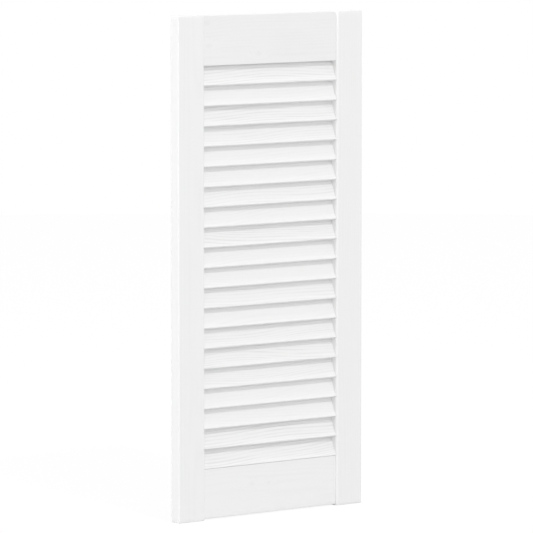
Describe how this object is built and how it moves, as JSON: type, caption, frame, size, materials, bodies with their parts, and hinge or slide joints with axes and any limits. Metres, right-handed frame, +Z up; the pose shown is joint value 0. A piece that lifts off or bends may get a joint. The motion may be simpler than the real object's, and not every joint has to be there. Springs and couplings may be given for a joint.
{
  "type": "louvred door",
  "caption": "White painted wooden cabinet door leaf with two stiles, two rails and fixed sloping louvre slats.",
  "frame": {"origin": "middle of the hinge edge's flat face, half way up and half way through the door", "axes": "+X across the door from the hinge edge, +Y from the front to the back, +Z up"},
  "size_m": [0.394, 0.022, 0.85],
  "materials": {
    "painted_stile": "white paint, satin",
    "painted_rail": "white paint, satin",
    "painted_slat": "white paint, satin"
  },
  "bodies": {
    "root": {"left_stile": "painted_stile", "right_stile": "painted_stile", "top_rail": "painted_rail", "bottom_rail": "painted_rail", "slat_01": "painted_slat", "slat_02": "painted_slat", "slat_03": "painted_slat", "slat_04": "painted_slat", "slat_05": "painted_slat", "slat_06": "painted_slat", "slat_07": "painted_slat", "slat_08": "painted_slat", "slat_09": "painted_slat", "slat_10": "painted_slat", "slat_11": "painted_slat", "slat_12": "painted_slat", "slat_13": "painted_slat", "slat_14": "painted_slat", "slat_15": "painted_slat", "slat_16": "painted_slat", "slat_17": "painted_slat", "slat_18": "painted_slat", "slat_19": "painted_slat", "slat_20": "painted_slat"}
  },
  "joints": []
}
